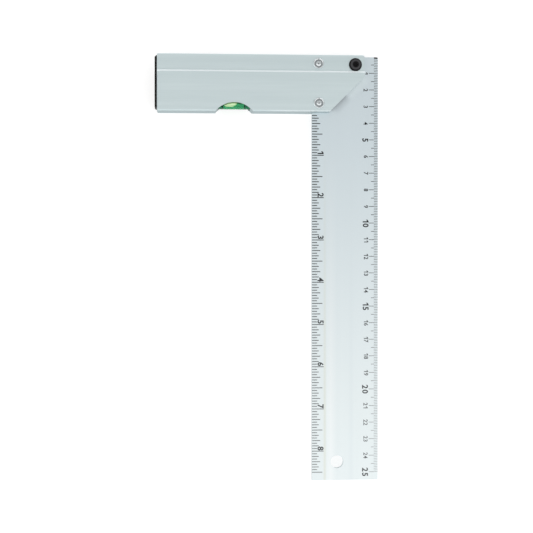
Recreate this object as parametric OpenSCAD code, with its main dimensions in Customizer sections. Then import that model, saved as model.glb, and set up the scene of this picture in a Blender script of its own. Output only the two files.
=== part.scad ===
// Carpenter's square: an extruded aluminium stock with a spirit vial and a
// mitred end, slotted for a flat graduated blade. The square lies on its rear
// face: X runs along the stock, Y along the blade, Z through the thickness.

/* [Blade] */
// Width of the blade, from the inch edge to the millimetre edge
blade_w = 40; // [30:1:60]
// Length of the blade, its part inside the stock included
blade_len = 254.3; // [180:0.1:400]
// Thickness of the blade
blade_t = 2; // [1.2:0.1:3]
// Width of the bevel along the millimetre edge
bevel_w = 2.5; // [1:0.1:4]
// Thickness left at the bevelled edge
bevel_edge_t = 1; // [0.6:0.1:1.2]
// Diameter of the hanging hole
hang_hole_d = 7.5; // [4:0.5:12]
// Centre of the hanging hole from the inch edge
hang_hole_in = 15.2; // [10:0.1:20]
// Centre of the hanging hole from the end of the blade
hang_hole_up = 11; // [8:0.1:20]

/* [Stock] */
// Length of the aluminium extrusion
stock_len = 123.7; // [120:0.1:180]
// Height of the stock, from its outer edge to its inner edge
stock_h = 34; // [32:0.5:40]
// Thickness of the stock between its two broad faces
stock_t = 16; // [14:0.1:20]
// Thickness of the sunk strip along the outer edge
strip_t = 11.5; // [9.5:0.1:12.5]
// Width of the sunk strip, up to the middle of the chamfer on its step
strip_w = 10.25; // [10.15:0.05:12]
// Width of the chamfer on the step
step_w = 1; // [0.5:0.1:1.1]
// Height of the chamfer on the step
step_drop = 0.7; // [0.4:0.1:1]
// Thickness of the two faces and of the outer edge wall
face_wall = 1.6; // [1.4:0.1:2]
// Thickness of the inner edge wall, under the vial
inner_wall = 1.6; // [1.4:0.1:2.2]
// Thickness of the web behind the step
step_web = 1.6; // [1.2:0.1:2.4]
// Thickness of the web over the vial channel
vial_web = 1.2; // [0.8:0.1:2]
// Chamfer along the inner edge and round the capped end
edge_chamfer = 0.7; // [0.3:0.1:1]
// Chamfer along the outer edge
outer_chamfer = 0.3; // [0.2:0.05:0.8]
// How far the blade stands out past the end of the stock
blade_past_stock = 8.8; // [6:0.1:12]
// How far the top of the blade lies below the outer edge
blade_below_edge = 0.5; // [0:0.1:2]
// Length of the square end above the mitre
end_face = 12.8; // [12:0.1:18]
// Chamfer on the outer corner of the square end
corner_cut = 0.9; // [0.5:0.1:2]
// Chamfer on the two corners of the capped end
end_corner = 0.5; // [0.2:0.1:1]

/* [Vial window] */
// Centre of the window from the millimetre edge of the blade
window_from_edge = 86.8; // [80:0.1:95]
// Depth of the window from the inner edge
window_depth = 5.3; // [3:0.1:6]
// Radius of the window's arc
window_r = 14.2; // [10:0.1:18]

/* [Vial] */
// Outside diameter of the vial
vial_d = 9; // [8:0.1:10]
// Length of the vial
vial_len = 34; // [30:0.5:40]
// Distance of the vial's middle to the left of the window's middle
vial_shift = 0.2; // [0:0.1:2]
// Wall of the vial
vial_wall = 0.7; // [0.5:0.1:1]
// Thickness of the vial's closed end
vial_end = 2; // [1:0.1:3]
// Length of the plug in the vial's open end
plug_len = 5; // [3:0.5:7]
// Distance between the two marker rings
marker_gap = 13; // [11:0.1:16]
// Width of a marker ring
marker_w = 0.5; // [0.3:0.1:1]
// Height of a marker ring inside the bore
marker_h = 0.2; // [0.1:0.05:0.3]
// Length of the bubble
bubble_len = 8.6; // [7:0.1:9]
// Underside of the bubble above the vial's axis
bubble_floor = 2; // [1:0.1:2]
// Where the bubble rests, left of the vial's middle
bubble_rest = 2.1; // [0:0.1:4]
// Offset of the cradle ribs from the vial's axis
rib_up = 2.4; // [2.3:0.1:3]
// Thickness of a cradle rib
rib_t = 1.2; // [0.8:0.1:1.4]

/* [Rivets] */
// Diameter of a rivet's shank
rivet_d = 4; // [3:0.1:4.4]
// Diameter of both heads of a rivet
rivet_head_d = 6.6; // [6:0.1:7]
// Height of the formed head's rim above the face
rivet_rim_h = 0.9; // [0.7:0.05:1.1]
// Width of the formed head's rim
rivet_rim_w = 1; // [0.8:0.05:1.2]
// Diameter of the disc in the middle of the formed head
rivet_disc_d = 3.1; // [2.4:0.1:3.4]
// Height of that disc above the face
rivet_disc_h = 0.55; // [0.4:0.05:0.7]
// Depth of the countersunk rear head
rivet_sink = 1.3; // [1:0.1:1.35]
// Rivets from the inch edge of the blade
rivet_in = 3.5; // [3.5:0.1:8]
// Upper rivet from the outer edge of the stock
upper_rivet_down = 5.3; // [5:0.1:6]
// Lower rivet from the inner edge of the stock
lower_rivet_up = 5; // [4.8:0.1:5.2]

/* [Clamp screw] */
// Diameter of the screw's thread
screw_d = 4; // [3:0.5:4]
// Diameter of the button head
screw_head_d = 7.8; // [6.5:0.1:7.8]
// Height of the button head
screw_head_h = 1.8; // [1.6:0.1:2.2]
// Width across flats of the hex socket
socket_af = 2.5; // [2:0.5:3]
// Depth of the hex socket
socket_depth = 1.1; // [1:0.1:1.6]
// Screw from the millimetre edge of the blade
screw_from_edge = 14.4; // [14:0.1:20]
// Screw from the outer edge of the stock
screw_down = 5.7; // [5:0.1:5.7]
// Width across flats of the nut
nut_af = 7; // [5.5:0.5:7]
// Height of the nut
nut_h = 2.2; // [1.8:0.1:2.2]

/* [Spacers] */
// Outside diameter of the spacers in the sunk strip
strip_spacer_d = 7; // [6:0.1:7.2]
// Outside diameter of the spacers beside the lower rivet
body_spacer_d = 6.4; // [5.6:0.1:6.6]

/* [End cap] */
// Thickness of the cap's flange
cap_t = 1.3; // [1:0.1:3]
// How far the flange stays inside the outline of the stock
cap_inset = 1; // [0.3:0.1:1.2]
// Corner chamfer of the flange
cap_corner = 1; // [0.5:0.1:1.4]
// Depth of the plugs in the chambers of the stock
cap_plug = 8; // [5:0.5:12]
// Wall of the plugs
cap_wall = 1.2; // [0.8:0.1:1.6]
// Radius of the crush ribs on the plugs
crush_r = 0.5; // [0.3:0.1:0.8]

/* [Fits] */
// Clearance between the blade and each side of its slot
slot_fit = 0.05; // [0.02:0.01:0.15]
// Gap between the edge of the blade and the bottom of its slot
slot_end_gap = 0.2; // [0.1:0.1:1]
// Radial clearance of the shanks in their holes
shank_fit = 0.05; // [0.02:0.01:0.15]
// Clearance round the vial in its channel
vial_fit = 0.05; // [0.02:0.01:0.15]
// Radial clearance of the plug in the vial
plug_fit = 0.03; // [0.02:0.01:0.1]
// Clearance between the bubble, the fluid and the rings
bubble_fit = 0.1; // [0.05:0.01:0.2]
// Clearance of the cap's plugs in the chambers
cap_fit = 0.1; // [0.05:0.01:0.3]

/* [Hidden] */
$fn = 64;
over = 1;

// Places in the plan, from the middle of the whole square
whole_x = cap_t + stock_len + blade_past_stock;
whole_y = blade_below_edge + blade_len;
blade_right = whole_x / 2;
blade_left = blade_right - blade_w;
outer_y = whole_y / 2;
inner_y = outer_y - stock_h;
blade_top = outer_y - blade_below_edge;
blade_bottom = blade_top - blade_len;
stock_right = blade_right - blade_past_stock;
stock_left = stock_right - stock_len;
mitre = stock_h - end_face;

// Heights in the thickness
mid_z = stock_t / 2;
strip_rear_z = mid_z - strip_t / 2;
strip_front_z = mid_z + strip_t / 2;

// Chambers of the extrusion, measured from the outer edge
strip_room_end = strip_w - step_web / 2;
mid_room_start = strip_w + step_web / 2;
channel_h = vial_d + 2 * vial_fit;
channel_end = stock_h - inner_wall;
channel_start = channel_end - channel_h;
mid_room_end = channel_start - vial_web;
strip_room_t = strip_t - 2 * face_wall;
body_room_t = stock_t - 2 * face_wall;

// Axes of the vial, the rivets and the screw
vial_y = inner_y + inner_wall + channel_h / 2;
window_x = blade_right - window_from_edge;
vial_x = window_x - vial_shift;
rivet_x = blade_left + rivet_in;
upper_rivet_y = outer_y - upper_rivet_down;
lower_rivet_y = inner_y + lower_rivet_up;
screw_x = blade_right - screw_from_edge;
screw_y = outer_y - screw_down;
hang_x = blade_left + hang_hole_in;
hang_y = blade_bottom + hang_hole_up;

// Inside of the vial
bore_d = vial_d - 2 * vial_wall;
bore_left = vial_x - vial_len / 2 + vial_end;
bore_right = vial_x + vial_len / 2 - plug_len;
ring_bore_d = bore_d - 2 * marker_h;
fluid_d = ring_bore_d - bubble_fit;
bubble_d = ring_bore_d - 2 * bubble_fit;

// One half of the section's outline, with the outer edge at 0 and the inner
// edge at -stock_h, moved inward by the inset
function half_outline(inset) = let (
    strip_half = strip_t / 2 - inset,
    body_half = stock_t / 2 - inset,
    inner = stock_h - inset,
    wall = strip_w - step_w / 2 + inset,
    drop = min(step_drop, 0.6 * (body_half - strip_half))
) [
    [-inset, strip_half - outer_chamfer],
    [-inset - outer_chamfer, strip_half],
    [-wall, strip_half],
    [-wall, body_half - drop],
    [-wall - step_w, body_half],
    [-inner + edge_chamfer, body_half],
    [-inner, body_half - edge_chamfer]
];

function mirrored(points) = [
    for (i = [len(points) - 1:-1:0]) [points[i].x, -points[i].y]
];

module section_outline(inset = 0) {
    half = half_outline(inset);
    polygon(concat(half, mirrored(half)));
}

// A rectangle of the section, between two distances from the outer edge
module room(start, end, thickness) {
    translate([-end, -thickness / 2])
        square([end - start, thickness]);
}

// Two ribs that cradle the vial against the inner edge wall
module cradle_ribs() {
    axis = channel_end - channel_h / 2;
    tip = sqrt(pow(channel_h / 2, 2) - pow(rib_up, 2));
    for (side = [-1, 1])
        translate([-axis + rib_up, side > 0 ? tip : -body_room_t / 2])
            square([rib_t, body_room_t / 2 - tip]);
}

module stock_section() {
    difference() {
        section_outline();
        room(face_wall, strip_room_end, strip_room_t);
        room(mid_room_start, mid_room_end, body_room_t);
        difference() {
            room(channel_start, channel_end, body_room_t);
            cradle_ribs();
        }
    }
}

// Extrudes a section along the stock, from x on
module along_stock(x, length) {
    translate([x, outer_y, mid_z])
        rotate([90, 0, 90])
            linear_extrude(length) children();
}

// The stock seen from its broad face: square end, cut corner and mitre
module stock_plan() {
    polygon([
        [stock_left, inner_y + end_corner],
        [stock_left + end_corner, inner_y],
        [stock_right - mitre, inner_y],
        [stock_right, inner_y + mitre],
        [stock_right, outer_y - corner_cut],
        [stock_right - corner_cut, outer_y],
        [stock_left + end_corner, outer_y],
        [stock_left, outer_y - end_corner]
    ]);
}

// The stock seen from its inner edge: chamfered at the capped end
module stock_side() {
    polygon([
        [stock_left, edge_chamfer],
        [stock_left + edge_chamfer, 0],
        [stock_right, 0],
        [stock_right, stock_t],
        [stock_left + edge_chamfer, stock_t],
        [stock_left, stock_t - edge_chamfer]
    ]);
}

// A plain hole for a shank, all through the thickness
module shank_hole(x, y, shank_d) {
    translate([x, y, -over])
        cylinder(d = shank_d + 2 * shank_fit, h = stock_t + 2 * over);
}

// A rivet's hole, countersunk in the rear face for its flush head
module rivet_hole(y, rear_z) {
    shank_hole(rivet_x, y, rivet_d);
    translate([rivet_x, y, rear_z - over])
        cylinder(d = rivet_head_d + 2 * shank_fit, h = over);
    translate([rivet_x, y, rear_z])
        cylinder(
            d1 = rivet_head_d + 2 * shank_fit,
            d2 = rivet_d + 2 * shank_fit,
            h = rivet_sink
        );
}

module stock() {
    color("lightsteelblue")
    difference() {
        intersection() {
            along_stock(stock_left, stock_len) stock_section();
            linear_extrude(stock_t) stock_plan();
            translate([0, outer_y, 0])
                rotate([90, 0, 0])
                    linear_extrude(stock_h) stock_side();
        }
        // Sawn slot for the blade
        translate([
            blade_left - slot_end_gap,
            inner_y - over,
            mid_z - blade_t / 2 - slot_fit
        ])
            cube([
                blade_w + slot_end_gap,
                stock_h + 2 * over,
                blade_t + 2 * slot_fit
            ]);
        // Window over the vial
        translate([window_x, inner_y + window_depth - window_r, -over])
            cylinder(r = window_r, h = stock_t + 2 * over, $fn = 128);
        rivet_hole(upper_rivet_y, strip_rear_z);
        rivet_hole(lower_rivet_y, 0);
        shank_hole(screw_x, screw_y, screw_d);
    }
}

module blade() {
    color("lightgray")
    difference() {
        translate([0, blade_top, mid_z])
            rotate([90, 0, 0])
                linear_extrude(blade_len)
                    polygon([
                        [blade_left, -blade_t / 2],
                        [blade_right, -blade_t / 2],
                        [blade_right, -blade_t / 2 + bevel_edge_t],
                        [blade_right - bevel_w, blade_t / 2],
                        [blade_left, blade_t / 2]
                    ]);
        translate([hang_x, hang_y, 0])
            cylinder(d = hang_hole_d, h = stock_t);
        for (y = [upper_rivet_y, lower_rivet_y])
            shank_hole(rivet_x, y, rivet_d);
        shank_hole(screw_x, screw_y, screw_d);
    }
}

// A hollow plug for one chamber, with crush ribs on its two broad sides
module cap_plug_ring(start, end, thickness) {
    height = end - start - 2 * cap_fit;
    depth = thickness - 2 * cap_fit;
    difference() {
        room(start + cap_fit, end - cap_fit, depth);
        translate([-end + cap_fit + cap_wall, -depth / 2 + cap_wall])
            square([height - 2 * cap_wall, depth - 2 * cap_wall]);
    }
    for (side = [-1, 1])
        for (share = [0.25, 0.75])
            intersection() {
                translate([-start - (end - start) * share, side * (thickness / 2 - crush_r)])
                    circle(r = crush_r);
                room(start, end, thickness);
            }
}

module end_cap() {
    color([0.15, 0.15, 0.16])
    union() {
        intersection() {
            along_stock(stock_left - cap_t, cap_t) section_outline(cap_inset);
            linear_extrude(stock_t)
                polygon([
                    [stock_left, inner_y + cap_inset],
                    [stock_left, outer_y - cap_inset],
                    [stock_left - cap_t + cap_corner, outer_y - cap_inset],
                    [stock_left - cap_t, outer_y - cap_inset - cap_corner],
                    [stock_left - cap_t, inner_y + cap_inset + cap_corner],
                    [stock_left - cap_t + cap_corner, inner_y + cap_inset]
                ]);
        }
        along_stock(stock_left - over / 2, cap_plug + over / 2) {
            cap_plug_ring(face_wall, strip_room_end, strip_room_t);
            cap_plug_ring(mid_room_start, mid_room_end, body_room_t);
            cap_plug_ring(
                channel_end - channel_h / 2 - rib_up,
                channel_end,
                body_room_t
            );
        }
    }
}

// A rivet with its countersunk rear head at z = 0 and its formed head on the
// front face: a rounded rim, a ring groove and a dished disc
module rivet(grip) {
    head_r = rivet_head_d / 2;
    rim_r = rivet_rim_w / 2;
    rim_x = head_r - rim_r;
    disc_r = rivet_disc_d / 2;
    groove_z = grip + 0.15 * rivet_rim_h;
    rim = [
        for (a = [0:15:180])
            [rim_x + rim_r * cos(a), grip + rivet_rim_h - rim_r + rim_r * sin(a)]
    ];
    rotate_extrude()
        polygon(concat(
            [
                [0, 0],
                [head_r, 0],
                [rivet_d / 2, rivet_sink],
                [rivet_d / 2, grip],
                [head_r, grip]
            ],
            rim,
            [
                [head_r - rivet_rim_w, groove_z],
                [disc_r, groove_z],
                [disc_r, grip + rivet_disc_h],
                [0.3 * disc_r, grip + 0.7 * rivet_disc_h],
                [0, grip + 0.3 * rivet_disc_h]
            ]
        ));
}

module upper_rivet() {
    color("silver")
        translate([rivet_x, upper_rivet_y, strip_rear_z])
            rivet(strip_t);
}

module lower_rivet() {
    color("silver")
        translate([rivet_x, lower_rivet_y, 0])
            rivet(stock_t);
}

// A tube between the blade and a face of the stock, on the front or the rear
module spacer(x, y, outside_d, shank_d, room_t, side) {
    length = room_t / 2 - blade_t / 2;
    color("gainsboro")
        translate([x, y, side > 0 ? mid_z + blade_t / 2 : mid_z - room_t / 2])
            difference() {
                cylinder(d = outside_d, h = length);
                translate([0, 0, -over])
                    cylinder(d = shank_d + 2 * shank_fit, h = length + 2 * over);
            }
}

module upper_front_spacer() {
    spacer(rivet_x, upper_rivet_y, strip_spacer_d, rivet_d, strip_room_t, 1);
}

module upper_rear_spacer() {
    spacer(rivet_x, upper_rivet_y, strip_spacer_d, rivet_d, strip_room_t, -1);
}

module lower_front_spacer() {
    spacer(rivet_x, lower_rivet_y, body_spacer_d, rivet_d, body_room_t, 1);
}

module lower_rear_spacer() {
    spacer(rivet_x, lower_rivet_y, body_spacer_d, rivet_d, body_room_t, -1);
}

module screw_front_spacer() {
    spacer(screw_x, screw_y, strip_spacer_d, screw_d, strip_room_t, 1);
}

module screw_rear_spacer() {
    spacer(screw_x, screw_y, strip_spacer_d, screw_d, strip_room_t, -1);
}

// Button head screw through the strip and the blade
module clamp_screw() {
    head_r = screw_head_d / 2;
    flat_r = 0.55 * head_r;
    rim_h = 0.1 * screw_head_h;
    tip = 0.4;
    dome = [
        for (a = [0:10:90])
            [
                flat_r + (head_r - flat_r) * cos(a),
                strip_t + rim_h + (screw_head_h - rim_h) * sin(a)
            ]
    ];
    color([0.15, 0.15, 0.16])
    translate([screw_x, screw_y, strip_rear_z])
    difference() {
        rotate_extrude()
            polygon(concat(
                [
                    [0, -nut_h],
                    [screw_d / 2 - tip, -nut_h],
                    [screw_d / 2, -nut_h + tip],
                    [screw_d / 2, strip_t],
                    [head_r, strip_t]
                ],
                dome,
                [[0, strip_t + screw_head_h]]
            ));
        translate([0, 0, strip_t + screw_head_h - socket_depth])
            cylinder(d = socket_af / cos(30), h = socket_depth + over, $fn = 6);
    }
}

// Thin hex nut in the sunk strip of the rear face
module clamp_nut() {
    corner_r = nut_af / 2 / cos(30);
    cut = 0.3;
    color([0.2, 0.2, 0.21])
    translate([screw_x, screw_y, strip_rear_z - nut_h])
    difference() {
        intersection() {
            cylinder(r = corner_r, h = nut_h, $fn = 6);
            rotate_extrude()
                polygon([
                    [0, 0],
                    [corner_r - cut, 0],
                    [corner_r, cut],
                    [corner_r, nut_h],
                    [0, nut_h]
                ]);
        }
        translate([0, 0, -over])
            cylinder(d = screw_d + 2 * shank_fit, h = nut_h + 2 * over);
    }
}

// Children drawn along Z are laid along the vial's axis, from x on
module along_vial(x) {
    translate([x, vial_y, mid_z])
        rotate([0, 90, 0])
            children();
}

module vial_tube() {
    color([0.6, 0.85, 0.7, 0.4])
        along_vial(vial_x - vial_len / 2)
            difference() {
                cylinder(d = vial_d, h = vial_len);
                translate([0, 0, vial_end])
                    cylinder(d = bore_d, h = vial_len);
            }
}

module vial_plug() {
    color([0.7, 0.85, 0.75])
        along_vial(bore_right)
            cylinder(d = bore_d - 2 * plug_fit, h = plug_len);
}

module marker_ring(x) {
    color("black")
        along_vial(x - marker_w / 2)
            difference() {
                cylinder(d = bore_d, h = marker_w);
                translate([0, 0, -over])
                    cylinder(d = ring_bore_d, h = marker_w + 2 * over);
            }
}

module left_marker_ring() {
    marker_ring(vial_x - marker_gap / 2);
}

module right_marker_ring() {
    marker_ring(vial_x + marker_gap / 2);
}

// All of the vial's inside below a height over its axis
module below(height) {
    translate([bore_left - over, vial_y - vial_d, mid_z + height - vial_d])
        cube([bore_right - bore_left + 2 * over, 2 * vial_d, vial_d]);
}

// The fluid up to the level of the bubble's underside
module vial_fluid() {
    color([0.2, 0.65, 0.4])
        intersection() {
            along_vial(bore_left) cylinder(d = fluid_d, h = bore_right - bore_left);
            below(bubble_floor - bubble_fit);
        }
}

// The bubble: round at both ends, under the top of the bore
module vial_bubble() {
    r = bubble_d / 2;
    half_w = sqrt(pow(r, 2) - pow(bubble_floor, 2));
    straight = bubble_len / 2 - half_w;
    ends = [for (a = [0:7.5:90]) [r * cos(a), straight + r * sin(a)]];
    color([0.85, 0.95, 0.8])
        difference() {
            along_vial(vial_x - bubble_rest)
                rotate_extrude()
                    polygon(concat(
                        [[0, -straight - r]],
                        [for (i = [len(ends) - 2:-1:0]) [ends[i].x, -ends[i].y]],
                        [for (i = [0:len(ends) - 2]) ends[i]],
                        [[0, straight + r]]
                    ));
            below(bubble_floor);
        }
}

stock();
blade();
end_cap();
upper_rivet();
lower_rivet();
upper_front_spacer();
upper_rear_spacer();
lower_front_spacer();
lower_rear_spacer();
clamp_screw();
clamp_nut();
screw_front_spacer();
screw_rear_spacer();
vial_tube();
vial_plug();
left_marker_ring();
right_marker_ring();
vial_fluid();
vial_bubble();
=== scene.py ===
import math

import bmesh
import bpy
from mathutils import Matrix, Vector


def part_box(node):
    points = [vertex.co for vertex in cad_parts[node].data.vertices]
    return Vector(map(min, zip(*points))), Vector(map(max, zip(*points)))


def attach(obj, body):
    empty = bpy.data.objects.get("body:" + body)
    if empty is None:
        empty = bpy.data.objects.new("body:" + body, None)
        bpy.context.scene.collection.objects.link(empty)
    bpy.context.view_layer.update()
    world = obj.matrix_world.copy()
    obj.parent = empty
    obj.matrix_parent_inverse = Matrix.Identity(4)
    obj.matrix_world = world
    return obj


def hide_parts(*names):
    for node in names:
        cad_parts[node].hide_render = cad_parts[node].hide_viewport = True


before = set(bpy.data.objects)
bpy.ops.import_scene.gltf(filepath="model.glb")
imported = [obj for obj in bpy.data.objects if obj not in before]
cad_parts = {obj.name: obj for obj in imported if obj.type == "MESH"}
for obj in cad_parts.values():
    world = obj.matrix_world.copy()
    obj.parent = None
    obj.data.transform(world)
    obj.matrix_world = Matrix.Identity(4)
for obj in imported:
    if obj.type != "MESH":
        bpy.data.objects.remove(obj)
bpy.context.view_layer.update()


# The stock is a hollow aluminium extrusion, satin anodised, with a sunk strip
# along its outer edge. It is sawn to length, mitred and slotted for the blade,
# so its long faces keep fine die lines and its ends show saw marks.
def paint(red, green, blue):
    """A colour in a picture's 0 to 255 values, as the linear colour of a shader."""
    linear = []
    for value in (red, green, blue):
        share = value / 255
        linear.append(share / 12.92 if share <= 0.04045 else ((share + 0.055) / 1.055) ** 2.4)
    return (*linear, 1.0)


def add_node(tree, kind, inputs=None, **settings):
    """Adds a node to a tree, with its settings and its plain or linked inputs."""
    made = tree.nodes.new(kind)
    for name, value in settings.items():
        setattr(made, name, value)
    for key, value in (inputs or {}).items():
        if isinstance(value, bpy.types.NodeSocket):
            tree.links.new(value, made.inputs[key])
        else:
            made.inputs[key].default_value = value
    return made


def new_group(name, sockets_in, sockets_out):
    """An empty shader node group with named sockets, its input and its output node."""
    tree = bpy.data.node_groups.new(name, "ShaderNodeTree")
    for label, kind, value in sockets_in:
        socket = tree.interface.new_socket(name=label, in_out="INPUT", socket_type=kind)
        socket.default_value = value
    for label, kind in sockets_out:
        tree.interface.new_socket(name=label, in_out="OUTPUT", socket_type=kind)
    return tree, tree.nodes.new("NodeGroupInput"), tree.nodes.new("NodeGroupOutput")


def mix_colours(tree, share, first, second):
    """The colour between two, by a share that may be a socket."""
    mix = add_node(tree, "ShaderNodeMix", data_type="RGBA")
    for socket, value in zip((mix.inputs[0], mix.inputs[6], mix.inputs[7]), (share, first, second)):
        if isinstance(value, bpy.types.NodeSocket):
            tree.links.new(value, socket)
        else:
            socket.default_value = value
    return mix.outputs[2]


def work(tree, operation, *values):
    """A Math node's result."""
    node = add_node(tree, "ShaderNodeMath", dict(enumerate(values)), operation=operation)
    return node.outputs[0]


def times(tree, *shares):
    """Several shares multiplied together."""
    result = shares[0]
    for share in shares[1:]:
        result = work(tree, "MULTIPLY", result, share)
    return result


def fade(tree, value, start, end, at_start, at_end, **settings):
    """Goes from one level to another while a value goes from start to end."""
    node = add_node(
        tree, "ShaderNodeMapRange", {0: value, 1: start, 2: end, 3: at_start, 4: at_end}, **settings
    )
    return node.outputs[0]


def band(tree, distance, inside, outside, soft):
    """1 between two distances, falling to 0 over a soft edge on both sides."""
    rise = fade(tree, distance, inside - soft, inside + soft, 0.0, 1.0)
    fall = fade(tree, distance, outside - soft, outside + soft, 1.0, 0.0)
    return times(tree, rise, fall)


def spot_on_piece(tree):
    """The Object coordinates of a surface point."""
    return add_node(tree, "ShaderNodeTexCoord").outputs["Object"]


def split(tree, vector):
    """The X, Y and Z of a vector."""
    return add_node(tree, "ShaderNodeSeparateXYZ", {0: vector}).outputs


def drawn_lines_group():
    """Die lines of drawn metal: long along one axis, close together across it."""
    tree, given, result = new_group(
        "drawn_lines",
        [("Stretch", "NodeSocketVector", (20, 900, 900)), ("Seed", "NodeSocketFloat", 0.0),
         ("Smoothest", "NodeSocketFloat", 0.3), ("Roughest", "NodeSocketFloat", 0.4)],
        [("Tone", "NodeSocketFloat"), ("Height", "NodeSocketFloat"), ("Roughness", "NodeSocketFloat")],
    )
    spread = add_node(
        tree, "ShaderNodeVectorMath", {0: spot_on_piece(tree), 1: given.outputs["Stretch"]},
        operation="MULTIPLY",
    ).outputs[0]
    seed = given.outputs["Seed"]
    broad = add_node(
        tree, "ShaderNodeTexNoise", {"Vector": spread, "W": seed, "Scale": 0.16, "Detail": 3.0},
        noise_dimensions="4D",
    ).outputs[0]
    fine = add_node(
        tree, "ShaderNodeTexNoise",
        {"Vector": spread, "W": seed, "Scale": 1.6, "Detail": 5.0, "Roughness": 0.65},
        noise_dimensions="4D",
    ).outputs[0]
    tone = work(tree, "ADD", times(tree, broad, 0.55), times(tree, fine, 0.45))
    rough = fade(tree, fine, 0.3, 0.7, given.outputs["Smoothest"], given.outputs["Roughest"])
    tree.links.new(tone, result.inputs["Tone"])
    tree.links.new(fine, result.inputs["Height"])
    tree.links.new(rough, result.inputs["Roughness"])
    return tree


def handling_marks_group():
    """Rare hairline scratches in a few directions, as a mask."""
    tree, given, result = new_group(
        "handling_marks",
        [("Density", "NodeSocketFloat", 0.5), ("Scale", "NodeSocketFloat", 60.0)],
        [("Mask", "NodeSocketFloat")],
    )
    place = spot_on_piece(tree)
    threshold = work(tree, "SUBTRACT", 0.86, times(tree, given.outputs["Density"], 0.2))
    found = None
    for turn, stretch in ((0.15, 26), (1.2, 34), (-0.7, 30)):
        turned = add_node(
            tree, "ShaderNodeMapping",
            {"Vector": place, "Rotation": (0, 0, turn), "Scale": (1, stretch, 1)},
        ).outputs[0]
        noise = add_node(
            tree, "ShaderNodeTexNoise",
            {"Vector": turned, "Scale": given.outputs["Scale"], "Detail": 1.0},
        ).outputs[0]
        line = fade(tree, noise, threshold, 0.92, 0.0, 1.0)
        found = line if found is None else work(tree, "MAXIMUM", found, line)
    tree.links.new(found, result.inputs["Mask"])
    return tree


drawn_lines = drawn_lines_group()
handling_marks = handling_marks_group()


def place_group(tree, group, **values):
    """Places a shader node group in a material with its own values, and gives its outputs."""
    node = tree.nodes.new("ShaderNodeGroup")
    node.node_tree = group
    for name, value in values.items():
        node.inputs[name].default_value = value
    return node.outputs


def new_material(name, **fixed):
    """A material with a Principled shader, and the shader's plain values set on its sockets."""
    material = bpy.data.materials.new(name)
    material.use_nodes = True
    tree = material.node_tree
    shader = tree.nodes["Principled BSDF"]
    for label, value in fixed.items():
        shader.inputs[label.replace("_", " ")].default_value = value
    return material, tree, shader


def raise_surface(tree, shader, height, strength, depth):
    """Bumps a shader's surface by a height."""
    bump = add_node(tree, "ShaderNodeBump", {"Height": height, "Strength": strength, "Distance": depth})
    tree.links.new(bump.outputs[0], shader.inputs["Normal"])


def drawn_metal(name, stretch, dark, light, sawn, rough, axis):
    """Satin metal with die lines along it; faces that look along `axis` are saw cuts."""
    material, tree, shader = new_material(name, Metallic=1.0, Specular_Tint=paint(170, 173, 175))
    lines = place_group(
        tree, drawn_lines, Stretch=stretch, Seed=1.7, Smoothest=rough - 0.05, Roughest=rough + 0.05
    )
    marks = place_group(tree, handling_marks, Density=0.5, Scale=55.0)["Mask"]
    facing = split(tree, add_node(tree, "ShaderNodeTexCoord").outputs["Normal"])
    cut = work(tree, "GREATER_THAN", work(tree, "ABSOLUTE", facing[axis]), 0.6)
    strokes = add_node(
        tree, "ShaderNodeMapping", {"Vector": spot_on_piece(tree), "Scale": (900, 900, 5200)}
    )
    saw = add_node(
        tree, "ShaderNodeTexNoise", {"Vector": strokes.outputs[0], "Scale": 1.0, "Detail": 3.0}
    ).outputs[0]
    saw_marks = times(tree, cut, saw)
    drawn = mix_colours(tree, lines["Tone"], dark, light)
    scratched = mix_colours(tree, times(tree, marks, 0.35), drawn, paint(250, 252, 252))
    tree.links.new(mix_colours(tree, saw_marks, scratched, sawn), shader.inputs["Base Color"])
    rougher = times(tree, cut, 0.08)
    tree.links.new(work(tree, "ADD", lines["Roughness"], rougher), shader.inputs["Roughness"])
    relief = work(tree, "ADD", saw_marks, times(tree, marks, -0.6))
    raise_surface(tree, shader, work(tree, "ADD", lines["Height"], relief), 0.12, 0.00004)
    return material


def dress(names, material):
    """Gives CAD nodes a finish, and leaves their shapes alone."""
    for name in names:
        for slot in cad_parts[name].material_slots:
            slot.material = material


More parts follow.
